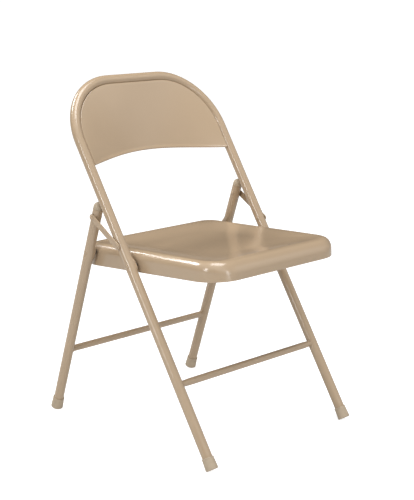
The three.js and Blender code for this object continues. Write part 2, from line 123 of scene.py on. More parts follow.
HEAD_RADIUS = 4.25
TAIL_RADIUS = 4.2
TAIL_THICKNESS = 1.4
SHANK_RADIUS = 3.0
SPACER_RADIUS = 6.5
SPACER_BORE = 3.3
SIT = 0.05  # a head stays this far off what it sits on
SEAT_HEAD_DOME = 1.9
LINK_FRAME_HEAD_DOME = 1.3
LINK_LEG_HEAD_DOME = 2.1
FRONT_TAIL_INSET = 1.5  # the seat rivets' tails end this far inside the skirt's sheet
REAR_TAIL_INSET = 3.9

CAP_HEIGHT = 26.8
CAP_SOLE_RADIUS = 13.7
CAP_TOP_RADIUS = 12.7
CAP_ROUNDING = 2.4
CAP_FLAT_DEPTH = 0.8  # how deep the standing flat is worn into the sole's edge


# ---------- mesh helpers ----------


def smoothstep(t):
    t = min(max(t, 0.0), 1.0)
    return t * t * (3 - 2 * t)


def mesh_object(name, points, faces, sharp=50):
    """A smooth-shaded mesh from points in millimetres; edges sharper than the angle stay crisp."""
    mesh = bpy.data.meshes.new(name)
    mesh.from_pydata([(x * MM, y * MM, z * MM) for x, y, z in points], [], faces)
    mesh.validate()
    mesh.shade_smooth()
    if sharp:
        mesh.set_sharp_from_angle(angle=math.radians(sharp))
    obj = bpy.data.objects.new(name, mesh)
    bpy.context.scene.collection.objects.link(obj)
    return obj


def ring_faces(ring_count, size, loop, lids):
    """Quads between rings of one size, with a lid at each end unless the rings join up."""
    faces = []
    for r in range(ring_count if loop else ring_count - 1):
        here, there = r * size, ((r + 1) % ring_count) * size
        for i in range(size):
            j = (i + 1) % size
            faces.append((here + i, here + j, there + j, there + i))
    if not loop and lids:
        last = (ring_count - 1) * size
        faces.append(tuple(range(size))[::-1])
        faces.append(tuple(range(last, last + size)))
    return faces


def skin(name, rings, loop=False, lids=True, sharp=50):
    points = [tuple(p) for ring in rings for p in ring]
    return mesh_object(name, points, ring_faces(len(rings), len(rings[0]), loop, lids), sharp)


def turned(name, profile, place, facets=48, loop=False, sharp=50):
    """Turns a profile of (radius, height) pairs; place(a, b, height) puts each point round its axis."""
    rings = []
    for radius, height in profile:
        ring = []
        for i in range(facets):
            angle = 2 * math.pi * i / facets
            ring.append(place(radius * math.cos(angle), radius * math.sin(angle), height))
        rings.append(ring)
    return skin(name, rings, loop=loop, sharp=sharp)


def arc(centre, radius, start, end, steps):
    """Points of a circular arc in a profile, angles in degrees."""
    out = []
    for i in range(steps + 1):
        a = math.radians(start + (end - start) * i / steps)
        out.append((centre[0] + radius * math.cos(a), centre[1] + radius * math.sin(a)))
    return out


# ---------- where things are: joints and boxes of the frame ----------


def joint_point(name):
    joint = next(j for j in frame["joints"] if j["name"] == name)
    return Vector(joint["pos_m"]) / MM


def box_centre(node):
    low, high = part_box(node)
    return (low + high) / (2 * MM)


class Rail:
    """A straight tube's own frame: x across the chair, back square to the tube, along it from the floor."""

    def __init__(self, low, high):
        rise = high - low
        self.tilt = math.atan2(rise.y, rise.z)
        self.foot_y = low.y - low.z * math.tan(self.tilt)

    def place(self, x, back, along):
        c, s = math.cos(self.tilt), math.sin(self.tilt)
        return (x, self.foot_y + back * c + along * s, along * c - back * s)

    def along(self, point):
        return point.z / math.cos(self.tilt)


seat_pivot = joint_point("seat_fold")
seat_leg_pivot = joint_point("rear_leg_fold")
link_frame_pivot = joint_point("left_link_swing")
link_leg_pivot = box_centre("link_leg_rivet_left")

front_rail = Rail(seat_pivot, link_frame_pivot)
rear_rail = Rail(seat_leg_pivot, link_leg_pivot)

SEAT_PIVOT = front_rail.along(seat_pivot)
LINK_FRAME_PIVOT = front_rail.along(link_frame_pivot)
SEAT_LEG_PIVOT = rear_rail.along(seat_leg_pivot)
LINK_LEG_PIVOT = rear_rail.along(link_leg_pivot)
FRONT_BAR = box_centre("front_cross_bar").z / math.cos(front_rail.tilt)
REAR_BAR = box_centre("rear_cross_bar").z / math.cos(rear_rail.tilt)


def seat_place(x, y, z):
    """A point of the seat's own frame, in the chair's."""
    c, s = math.cos(SEAT_SLOPE), math.sin(SEAT_SLOPE)
    return (x, seat_pivot.y + y * c + z * s, seat_pivot.z - y * s + z * c)


# ---------- tubes ----------


def press(distance, flat, end):
    return 1 - smoothstep((abs(distance) - flat) / (end - flat))


def section_point(angle, along, seat_flats, dimples):
    """A point of the tube's section: u towards the seat, v towards the back."""
    u, v = TUBE_RADIUS * math.cos(angle), TUBE_RADIUS * math.sin(angle)
    for at in seat_flats:
        amount = press(along - at, PRESS_FLAT, PRESS_END)
        if u > 0:
            u += (min(u * PRESS_CORNER, SEAT_SIDE_FLAT) - u) * amount
        v *= 1 + SEAT_SIDE_WIDEN * amount * (1 + math.cos(angle)) / 2
    for at in dimples:
        amount = press(along - at, PRESS_FLAT, DIMPLE_END)
        u = max(u, -(TUBE_RADIUS - DIMPLE_DEPTH * amount))
    return u, v


def stations(start, end, pivots):
    """Distances along a tube, close together round each pivot."""
    marks = {start, end}
    for at in pivots:
        steps = int(2 * (PRESS_END + PRESS_MARGIN) / FINE_STEP)
        for i in range(steps + 1):
            marks.add(at - PRESS_END - PRESS_MARGIN + i * FINE_STEP)
    marks = sorted(m for m in marks if start <= m <= end)
    out = []
    for a, b in zip(marks, marks[1:]):
        pieces = max(1, round((b - a) / COARSE_STEP))
        out += [a + (b - a) * i / pieces for i in range(pieces)]
    return out + [marks[-1]]


def tube_ring(place, centre, inward, along, seat_flats, dimples):
    """centre and inward are (x, along) pairs in the tube's plane."""
    ring = []
    for i in range(TUBE_FACETS):
        u, v = section_point(2 * math.pi * i / TUBE_FACETS, along, seat_flats, dimples)
        ring.append(place(centre[0] + inward[0] * u, v, centre[1] + inward[1] * u))
    return ring


def frame_x(along):
    share = along / (FRAME_TOP - FRAME_BEND)
    return FRAME_FOOT_X + (FRAME_TOP_X - FRAME_FOOT_X) * share


def frame_tube():
    """Both front legs and the top of the back, in one bent tube."""
    bend_start = FRAME_TOP - FRAME_BEND
    flats, dimples = [SEAT_PIVOT], [SEAT_PIVOT, LINK_FRAME_PIVOT]
    marks = stations(CAP_INSIDE, bend_start, dimples)
    bend_steps = 40

    def half(side):
        rings = [
            tube_ring(front_rail.place, (side * frame_x(a), a), (-side, 0), a, flats, dimples) for a in marks
        ]
        for i in range(1, bend_steps + 1):
            angle = i / bend_steps * math.pi / 2
            inward = (-side * math.cos(angle), -math.sin(angle))
            centre = (
                side * (FRAME_TOP_X - FRAME_BEND) - inward[0] * FRAME_BEND,
                bend_start - inward[1] * FRAME_BEND,
            )
            rings.append(tube_ring(front_rail.place, centre, inward, FRAME_TOP, [], []))
        return rings

    right, left = half(-1), half(1)[::-1]
    top_steps = 10
    top = [
        [tuple(a + (b - a) * k / top_steps for a, b in zip(p, q)) for p, q in zip(right[-1], left[0])]
        for k in range(1, top_steps)
    ]
    return skin("frame_tube", right + top + left)


def rear_leg(name, side):
    """One rear leg; its rings run down the left leg and up the right one, so that both face outwards."""
    pivots = [SEAT_LEG_PIVOT, LINK_LEG_PIVOT]
    marks = stations(CAP_INSIDE, LEG_END, pivots)
    if side > 0:
        marks = marks[::-1]
    rings = [
        tube_ring(rear_rail.place, (side * LEG_X, a), (-side, 0), a, [SEAT_LEG_PIVOT], pivots) for a in marks
    ]
    return skin(f"rear_tube_{name}", rings)


# ---------- cross bars and their welds ----------


def bar_end_x(angle, tube_x):
    """Where the bar's wall meets the round tube."""
    back = BAR_RADIUS * math.cos(angle)
    return tube_x - math.sqrt(TUBE_RADIUS**2 - back**2) + BAR_SINK


def cross_bar(name, rail, along, tube_x):
    """A straight bar whose ends are slightly flattened and cut to the tubes they meet."""
    right_half = [0.2, 0.6, BAR_END, 0.92, 0.94, 0.955, 0.97, 0.985, 1]
    rings = []
    for share in [-share for share in reversed(right_half)] + right_half:
        flatten = BAR_FLATTEN * smoothstep((abs(share) - BAR_END) / 0.09)
        ring = []
        for i in range(BAR_FACETS):
            angle = 2 * math.pi * i / BAR_FACETS
            reach = bar_end_x(angle, tube_x)
            back = BAR_RADIUS * (1 + 0.5 * flatten) * math.cos(angle)
            up = BAR_RADIUS * (1 - flatten) * math.sin(angle)
            ring.append(rail.place(share * reach, back, along + up))
        rings.append(ring)
    return skin(name, rings)


def weld(name, rail, along, tube_x, side):
    """The bead round the end of a bar: a small rippled ring that follows the tube's round side."""
    steps, facets = 96, 10
    rings = []
    for i in range(steps):
        angle = 2 * math.pi * i / steps
        ripple = 0.16 * math.sin(angle * 17 + 0.6) + 0.1 * math.sin(angle * 5 + 1.3)
        radius = WELD_RADIUS + ripple
        reach = bar_end_x(angle, tube_x) - WELD_SINK
        ring = []
        for k in range(facets):
            t = 2 * math.pi * k / facets
            out = BAR_RADIUS + 0.1 + radius * math.cos(t)
            back, up = 1.04 * out * math.cos(angle), 0.92 * out * math.sin(angle)
            ring.append(rail.place(side * (reach - radius * math.sin(t)), back, along + up))
        rings.append(ring if side > 0 else ring[::-1])
    return skin(name, rings, loop=True, sharp=0)


# ---------- back panel ----------


def panel_low(x, half_width):
    """Height of the panel's lower edge, along the tube."""
    q = (x / half_width) ** 2
    return PANEL_LOW_MIDDLE - PANEL_LOW_RISE * q + PANEL_LOW_EASE * q * q


def back_panel():
    """A bowed sheet whose sides and top turn back along the tube, with a rolled lower edge."""
    edge_round = PANEL_EDGE_ROUND
    bend_radius = FRAME_BEND - TUBE_RADIUS - PANEL_EDGE_GAP - edge_round
    bend_x, bend_z = FRAME_TOP_X - FRAME_BEND, FRAME_TOP - FRAME_BEND
    half_width = bend_x + bend_radius
    arc_steps, flat_steps, rows = 30, 24, 34
    columns = []
    for i in range(arc_steps):
        angle = (1 - i / arc_steps) * math.pi / 2
        columns.append((-bend_x - bend_radius * math.sin(angle), bend_z + bend_radius * math.cos(angle)))
    for i in range(flat_steps + 1):
        columns.append((bend_x * (2 * i / flat_steps - 1), bend_z + bend_radius))
    columns += [(-x, top) for x, top in columns[:arc_steps]][::-1]

    def surface(x, top, up):
        low = panel_low(x, half_width)
        hollow = PANEL_BOW * (1 - (x / half_width) ** 2) * (1 - up)
        return Vector((x, hollow - PANEL_FACE, low + (top - low) * up))

    points, faces = [], []

    def add(p):
        points.append(front_rail.place(*p))
        return len(points) - 1

    grid = []
    for x, top in columns:
        grid.append([surface(x, top, j / rows) for j in range(rows + 1)])
    index = [[add(p) for p in column] for column in grid]
    for i in range(len(columns) - 1):
        for j in range(rows):
            faces.append((index[i][j], index[i + 1][j], index[i + 1][j + 1], index[i][j + 1]))

    # The side and top flange: round the edge, then straight back.
    rim = [(index[0][j], grid[0][j]) for j in range(rows + 1)]
    rim += [(index[i][rows], grid[i][rows]) for i in range(1, len(columns))]
    rim += [(index[-1][j], grid[-1][j]) for j in range(rows - 1, -1, -1)]
    previous = [i for i, _ in rim]
    profile = []
    for a in (18, 36, 54, 72, 90):
        t = math.radians(a)
        profile.append((edge_round * math.sin(t), edge_round * (1 - math.cos(t))))
    profile += [(edge_round, edge_round + depth) for depth in (2, 4.5, 7)]
    normals = []
    for k in range(len(rim)):
        a, b = rim[max(k - 1, 0)][1], rim[min(k + 1, len(rim) - 1)][1]
        way = Vector((b.x - a.x, 0, b.z - a.z)).normalized()
        normals.append(Vector((-way.z, 0, way.x)))
    for out, back in profile:
        here = []
        for (_, p), n in zip(rim, normals):
            here.append(add((p.x + n.x * out, p.y + back, p.z + n.z * out)))
        for k in range(len(rim) - 1):
            faces.append((previous[k], previous[k + 1], here[k + 1], here[k]))
        previous = here

    # The lower hem: a shallow step forward, then a roll round to the back.
    hem = [(0.7, -0.05), (1.3, 0.15), (1.8, 0.45), (HEM_START, HEM_STEP)]
    for a in (15, 32, 50, 70, 90, 112, 135, 158, 180):
        t = math.radians(a)
        hem.append((HEM_START + 0.6 + HEM_ROLL * math.sin(t), HEM_STEP - HEM_ROLL * (1 - math.cos(t))))
    hem += [(1.6, HEM_STEP - 2 * HEM_ROLL), (0.2, HEM_STEP - 2 * HEM_ROLL + 0.2)]
    previous = [index[i][0] for i in range(len(columns))]
    for down, forward in hem:
        here = []
        for i in range(len(columns)):
            p = grid[i][0]
            way = (grid[i][0] - grid[i][1]).normalized()
            face = Vector((0, -way.z, way.y)).normalized()
            if face.y > 0:
                face = -face
            here.append(add(p + way * (down - HEM_LIFT) + face * forward))
        for i in range(len(columns) - 1):
            faces.append((here[i], here[i + 1], previous[i + 1], previous[i]))
        previous = here
    obj = mesh_object("panel_sheet", points, faces, sharp=0)
    # The lowest rows of the sheet move up to make room for the hem.
    shift = Vector(front_rail.place(0, 0, 1)) - Vector(front_rail.place(0, 0, 0))
    for i in range(len(columns)):
        for j in range(rows + 1):
            lift = HEM_LIFT * (1 - j / rows) ** 3
            obj.data.vertices[index[i][j]].co += shift * lift * MM
    thick = obj.modifiers.new("sheet", "SOLIDIFY")
    thick.thickness = PANEL_SHEET * MM
    thick.offset = -1
    thick.use_even_offset = True
    return obj


# ---------- seat ----------


def seat_ring(d, steps=14, sides=22):
    """The seat's rounded outline moved in by d; the corners open out inside the rim."""
    inner = max(d - SEAT_RIM_WIDTH, 0)
    out = []
    corners = [
        (1, SEAT_BACK, SEAT_CORNER_BACK, 0),
        (-1, SEAT_BACK, SEAT_CORNER_BACK, 90),
        (-1, SEAT_FRONT, SEAT_CORNER_FRONT, 180),
        (1, SEAT_FRONT, SEAT_CORNER_FRONT, 270),
    ]
    arcs = []
    for sx, y, radius, start in corners:
        reach = radius - min(d, SEAT_RIM_WIDTH) + SEAT_DISH_OPEN * inner
        reach = min(reach, SEAT_HALF_WIDTH - d - 1)
        cx = sx * (SEAT_HALF_WIDTH - d - reach)
        cy = y - math.copysign(d + reach, y)
        arcs.append(arc((cx, cy), reach, start, start + 90, steps))
    for k, points in enumerate(arcs):
        out += points
        (ax, ay), (bx, by) = points[-1], arcs[(k + 1) % 4][0]
        out += [(ax + (bx - ax) * i / sides, ay + (by - ay) * i / sides) for i in range(1, sides)]
    return out


def seat_top(y, d):
    """Height of the seat's upper face at a distance d in from its outline."""
    rim = SEAT_RIM + SEAT_RIM_RISE * y
    over = max(SEAT_EDGE_RADIUS - d, 0)
    edge = SEAT_EDGE_RADIUS - math.sqrt(SEAT_EDGE_RADIUS**2 - over**2)
    past_rim = d - SEAT_RIM_WIDTH
    softened = (past_rim + math.hypot(past_rim, SEAT_DISH_SOFT)) / 2
    at_outline = (math.hypot(SEAT_RIM_WIDTH, SEAT_DISH_SOFT) - SEAT_RIM_WIDTH) / 2
    run = min(max((softened - at_outline) / SEAT_DISH_RUN, 0), 1)
    dish = SEAT_DISH * (1 - (1 - run) ** 2)
    t = min(max((y - SEAT_FRONT) / (SEAT_RIM_WIDTH * 1.25), 0), 1)
    return rim - edge - dish - SEAT_FRONT_DROP * (1 - t) ** 1.5


def seat_pan():
    """The pressed pan: out along its underside, down the skirt, round the hem, up and back in on top."""
    edge = [SEAT_EDGE_RADIUS * (1 - math.cos(math.radians(a))) for a in range(0, 91, 6)]
    rim = [SEAT_EDGE_RADIUS + (SEAT_RIM_WIDTH - 6 - SEAT_EDGE_RADIUS) * i / 3 for i in range(1, 4)]
    crease = [SEAT_RIM_WIDTH + k for k in (-4, -2.5, -1, 0.5, 2, 3.5, 5, 7, 9.5)]
    dish = [SEAT_RIM_WIDTH + SEAT_DISH_RUN * i / 26 for i in range(5, 30)]
    inside = [112, 122, 135, 150, 165, 180, 188, SEAT_HALF_WIDTH - 4]
    depths = edge + rim + crease + [d for d in dish if d > crease[-1]] + inside

    def ring(d, height):
        return [seat_place(x, y, height(y)) for x, y in seat_ring(d)]

    rings = []
    for d in reversed(depths):
        if d >= SEAT_SHEET:
            rings.append(ring(d, lambda y, d=d: seat_top(y, d) - SEAT_SHEET))
    rings.append(ring(SEAT_SHEET, lambda y: seat_top(y, SEAT_SHEET) - SEAT_SHEET - 1.5))
    for share in (0.25, 0.5, 0.75):
        rings.append(
            ring(
                SEAT_SHEET,
                lambda y, s=share: (seat_top(y, 0) - 3) * (1 - s) + (SEAT_BOTTOM + SEAT_SHEET + 2) * s,
            )
        )
    for d, z in [(1.5, 3.2), (1.9, 2.1), (2.9, 1.5), (6.4, 1.5), (6.9, 1.2), (7, 0.75), (6.9, 0.3), (6.4, 0)]:
        rings.append(ring(d, lambda y, z=z: SEAT_BOTTOM + z))
    for a in (0, 22, 45, 68, 90):
        t = math.radians(a)
        rings.append(ring(2 - 2 * math.sin(t), lambda y, t=t: SEAT_BOTTOM + 2 - 2 * math.cos(t)))
    for share in (0.2, 0.4, 0.6, 0.8):
        rings.append(ring(0, lambda y, s=share: (SEAT_BOTTOM + 2) * (1 - s) + seat_top(y, 0) * s))
    rings += [ring(d, lambda y, d=d: seat_top(y, d)) for d in depths]
    return skin("seat_sheet", rings, sharp=0)


# ---------- small turned pieces ----------


def across(centre, side):
    """Places a turned piece on an axis along X through centre; heights run outwards from the centre plane."""
    return lambda a, b, h: (side * h, centre.y + (b if side > 0 else -b) * -1, centre.z + a)


def rivet(name, centre, side, seat_at, dome, tail_at=None):
    """Head seated at seat_at with a small rounded edge; tail_at is the inner end of the clinched tail."""
    r = HEAD_RADIUS
    if tail_at is None:
        profile = [(0.01, seat_at - 1.6), (SHANK_RADIUS, seat_at - 1.6)]
    else:
        profile = [(0.01, tail_at), (3.2, tail_at), (3.9, tail_at + 0.25), (TAIL_RADIUS, tail_at + 0.8)]
        profile += [(TAIL_RADIUS, tail_at + TAIL_THICKNESS), (SHANK_RADIUS, tail_at + TAIL_THICKNESS)]
    profile += [(SHANK_RADIUS, seat_at), (r - 0.1, seat_at), (r, seat_at + 0.15), (r, seat_at + 0.4)]
    for a in range(15, 90, 15):
        t = math.radians(a)
        profile.append((r * math.cos(t), seat_at + 0.4 + (dome - 0.4) * math.sin(t)))
    profile.append((0.01, seat_at + dome))
    return turned(name, profile, across(centre, side), facets=36)


def spacer(name, centre, side, start, end):
    """A bush round a rivet's shank, between the seat's skirt and the tube's flat."""
    r, bore = SPACER_RADIUS, SPACER_BORE
    profile = [(bore, start), (r - 0.5, start), (r, start + 0.5), (r, end - 0.5), (r - 0.5, end), (bore, end)]
    return turned(name, profile, across(centre, side), facets=40, loop=True)


def tail(name, centre, side, inner):
    """The clinched end of a link's lower rivet, on the inner side of the rear leg."""
    profile = [(0.01, inner), (3.1, inner), (3.8, inner + 0.2), (TAIL_RADIUS, inner + 0.7)]
    profile += [(TAIL_RADIUS, inner + TAIL_THICKNESS), (SHANK_RADIUS, inner + TAIL_THICKNESS)]
    profile += [(SHANK_RADIUS, inner + 3.2), (0.01, inner + 3.2)]
    return turned(name, profile, across(centre, side), facets=36)


def link(name, side):
    """The flat strap between the two link pivots, with round ends and a softened outer edge."""
    start, end = link_frame_pivot, link_leg_pivot
    dy, dz = end.y - start.y, end.z - start.z
    length = math.hypot(dy, dz)
    ay, az = dy / length, dz / length
    half, reach = LINK_WIDTH / 2, LINK_OVERHANG - LINK_WIDTH / 2
    rings = []
    inner_edge = [(0.5, 0), (0.12, 0.12), (0, 0.5), (0, 1.2)]
    outer_edge = [(0.12, 1.7), (0.5, 2.12), (1.1, 2.34), (1.9, LINK_SHEET)]
    for inset, t in inner_edge + outer_edge:
        r = half - inset
        ring = arc((length + reach, 0), r, -90, 90, 20) + arc((-reach, 0), r, 90, 270, 20)
        placed = []
        for u, v in ring:
            y = start.y + ay * u - side * az * v
            z = start.z + az * u + side * ay * v
            placed.append((side * (LINK_INNER_FACE + t), y, z))
        rings.append(placed)
    return skin(f"link_strap_{name}", rings)


def foot_cap(name, rail, x):
    """A tapered cap with a rounded sole and a lip; the side it stands on is worn flat on the floor."""
    tilt = abs(rail.tilt)
    c, s = math.cos(tilt), math.sin(tilt)
    sole = (CAP_SOLE_RADIUS * s - CAP_ROUNDING * (c + s - 1) - CAP_FLAT_DEPTH) / c
    mouth = sole + CAP_HEIGHT
    profile = [(0.01, sole), (3, sole), (6, sole), (8.5, sole)]
    for a in range(0, 91, 10):
        t = math.radians(a)
        inset = CAP_ROUNDING * (1 - math.sin(t))
        profile.append((CAP_SOLE_RADIUS - inset, sole + CAP_ROUNDING * (1 - math.cos(t))))
    profile += [(CAP_SOLE_RADIUS - 0.15, sole + 6), (CAP_SOLE_RADIUS - 0.4, sole + 12)]
    profile += [(CAP_TOP_RADIUS + 0.1, mouth - 5), (CAP_TOP_RADIUS, mouth - 3.4)]
    profile.append((CAP_TOP_RADIUS + 0.02, mouth - 3))
    for a in range(-80, 81, 20):
        t = math.radians(a)
        profile.append((CAP_TOP_RADIUS + 0.05 + 0.45 * math.cos(t), mouth - 1.5 + 1.35 * math.sin(t)))
    profile += [(TUBE_RADIUS + 0.7, mouth), (TUBE_RADIUS + 0.15, mouth - 0.4), (TUBE_RADIUS + 0.1, mouth - 4)]
    profile.append((0.01, mouth - 4))

    def place(a, b, h):
        px, py, pz = rail.place(x + a, b, h)
        return (px, py, max(pz, 0.0))

    return turned(name, profile, place, facets=64)


def leg_plug(name, side):
    """The round-topped plug in the upper end of a rear leg."""
    r = TUBE_RADIUS
    shoulder = LEG_END + 0.3
    profile = [(0.01, LEG_END - 3), (9.6, LEG_END - 3), (9.6, shoulder), (r - 0.35, shoulder)]
    profile += [(r - 0.05, shoulder + 0.3), (r, shoulder + 1), (r, shoulder + 3.2)]
    for a in range(0, 90, 9):
        t = math.radians(a)
        profile.append((r * math.cos(t), shoulder + 4 + r * math.sin(t)))
    profile.append((0.01, shoulder + 4 + r))
    return turned(name, profile, lambda a, b, h: rear_rail.place(side * LEG_X + a, b, h), facets=56)


# ---------- materials ----------


class Nodes:
    """Short names for building a material's node tree."""

    def __init__(self, name):
        self.material = bpy.data.materials.new(name)
        self.material.use_nodes = True
        self.tree = self.material.node_tree
        self.shader = self.tree.nodes["Principled BSDF"]
        self.coords = self.tree.nodes.new("ShaderNodeTexCoord").outputs["Object"]

    def link(self, a, b):
        self.tree.links.new(a, b)

    def noise(self, scale, detail, roughness):
        node = self.tree.nodes.new("ShaderNodeTexNoise")
        node.inputs["Scale"].default_value = scale
        node.inputs["Detail"].default_value = detail
        node.inputs["Roughness"].default_value = roughness
        self.link(self.coords, node.inputs["Vector"])
        return node.outputs["Fac"]

    def ramp(self, value, stops):
        node = self.tree.nodes.new("ShaderNodeValToRGB")
        elements = node.color_ramp.elements
        while len(elements) < len(stops):
            elements.new(0.5)
        for element, (at, colour) in zip(elements, stops):
            element.position = at
            element.color = (*colour, 1)
        self.link(value, node.inputs["Fac"])
        return node.outputs["Color"]

    def range(self, value, low, high, to_low, to_high):
        node = self.tree.nodes.new("ShaderNodeMapRange")
        for key, number in zip(("From Min", "From Max", "To Min", "To Max"), (low, high, to_low, to_high)):
            node.inputs[key].default_value = number
        self.link(value, node.inputs["Value"])
        return node.outputs["Result"]

    def multiply(self, first, second):
        node = self.tree.nodes.new("ShaderNodeMix")
        node.data_type = "RGBA"
        node.blend_type = "MULTIPLY"
        node.inputs[0].default_value = 1.0
        self.link(first, node.inputs[6])
        self.link(second, node.inputs[7])
        return node.outputs[2]

    def bump(self, height, distance, strength):
        node = self.tree.nodes.new("ShaderNodeBump")
        node.inputs["Distance"].default_value = distance
        node.inputs["Strength"].default_value = strength
        self.link(height, node.inputs["Height"])
        return node.outputs["Normal"]


# Distances of the bump maps, in metres.
PAINT_PEEL = 0.0000003
RUBBER_GRAIN = 0.00008
BUSH_GRAIN = 0.00005


def shades(base, dark, light):
    """A ramp's two stops: the base colour made darker and lighter."""
    return [(0.3, tuple(c * dark for c in base)), (0.7, tuple(c * light for c in base))]


def paint_material(name, seed):
    """Semi-gloss powder coat: faint orange peel, slow colour drift and slightly uneven gloss."""
    n = Nodes(name)
    drift = n.ramp(n.noise(7 + seed, 2, 0.4), shades(PAINT, 0.98, 1.015))
    grain = n.noise(620, 2, 0.6)
    tint = n.ramp(grain, [(0.35, (0.985, 0.985, 0.985)), (0.65, (1, 1, 1))])
    n.link(n.multiply(drift, tint), n.shader.inputs["Base Color"])
    gloss = n.noise(22 + seed, 4, 0.6)
    n.link(n.range(gloss, 0.3, 0.7, *PAINT_ROUGHNESS), n.shader.inputs["Roughness"])
    peel = n.noise(420, 2, 0.45)
    n.link(n.bump(peel, PAINT_PEEL, 1.0), n.shader.inputs["Normal"])
    n.shader.inputs["Specular IOR Level"].default_value = 0.65
    n.shader.inputs["IOR"].default_value = 1.5
    return n.material


def rubber_material(name, base):
    """Matt moulded rubber, slightly mottled."""
    n = Nodes(name)
    colour = n.ramp(n.noise(90, 3, 0.5), shades(base, 0.93, 1.04))
    n.link(colour, n.shader.inputs["Base Color"])
    n.link(n.range(n.noise(160, 3, 0.6), 0.3, 0.7, 0.42, 0.56), n.shader.inputs["Roughness"])
    n.link(n.bump(n.noise(900, 2, 0.6), RUBBER_GRAIN, 0.6), n.shader.inputs["Normal"])
    return n.material


def bush_material(name):
    """Dark matt plastic."""
    n = Nodes(name)
    colour = n.ramp(n.noise(140, 3, 0.5), [(0.3, (0.05, 0.036, 0.028)), (0.7, (0.075, 0.056, 0.042))])
    n.link(colour, n.shader.inputs["Base Color"])
    n.link(n.range(n.noise(260, 2, 0.5), 0.3, 0.7, 0.5, 0.65), n.shader.inputs["Roughness"])
    n.link(n.bump(n.noise(1200, 2, 0.6), BUSH_GRAIN, 0.6), n.shader.inputs["Normal"])
    return n.material


PAINT = (0.428, 0.317, 0.209)
PAINT_ROUGHNESS = (0.17, 0.2)
CAP_RUBBER = (0.43, 0.345, 0.245)
PLUG_RUBBER = (0.45, 0.365, 0.26)
tube_paint = paint_material("powder_coat_tubes", 0.0)
sheet_paint = paint_material("powder_coat_sheet", 2.0)
small_paint = paint_material("powder_coat_fittings", 5.0)
cap_rubber = rubber_material("foot_cap_rubber", CAP_RUBBER)
plug_rubber = rubber_material("plug_rubber", PLUG_RUBBER)
bush_dark = bush_material("bush_dark")


def finish_piece(piece, body, nodes, material):
    """Every new piece stands for CAD nodes, rides on a body and takes a material slot's finish."""
    piece.data.materials.append(material)
    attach(piece, body)
    if nodes:
        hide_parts(*nodes)


# ---------- the chair ----------

finish_piece(frame_tube(), "front_frame", ["back_frame_tube"], tube_paint)
finish_piece(back_panel(), "front_frame", ["back_panel"], sheet_paint)
finish_piece(seat_pan(), "seat", ["seat_pan"], sheet_paint)
front_bar_x = frame_x(FRONT_BAR)
front_bar = cross_bar("front_bar", front_rail, FRONT_BAR, front_bar_x)
finish_piece(front_bar, "front_frame", ["front_cross_bar"], tube_paint)
rear_bar = cross_bar("rear_bar", rear_rail, REAR_BAR, LEG_X)
finish_piece(rear_bar, "rear_legs", ["rear_cross_bar"], tube_paint)

# Distances from the centre plane that the pieces on both sides share.
head_at = LINK_INNER_FACE + LINK_SHEET + SIT
frame_tail_at = frame_x(LINK_FRAME_PIVOT) - TUBE_RADIUS - TAIL_THICKNESS - 0.1
leg_tail_at = LEG_X - TUBE_RADIUS - TAIL_THICKNESS - 0.1
seat_axis = frame_x(SEAT_PIVOT)
front_head_at = seat_axis + TUBE_RADIUS - DIMPLE_DEPTH + SIT
rear_head_at = LEG_X + TUBE_RADIUS - DIMPLE_DEPTH + SIT
front_seat_tail_at = SEAT_HALF_WIDTH - SEAT_SHEET - FRONT_TAIL_INSET
rear_seat_tail_at = SEAT_HALF_WIDTH - SEAT_SHEET - REAR_TAIL_INSET
bush_start = SEAT_HALF_WIDTH + 0.1
front_bush_end = seat_axis - SEAT_SIDE_FLAT - 0.1
rear_bush_end = LEG_X - SEAT_SIDE_FLAT - 0.1

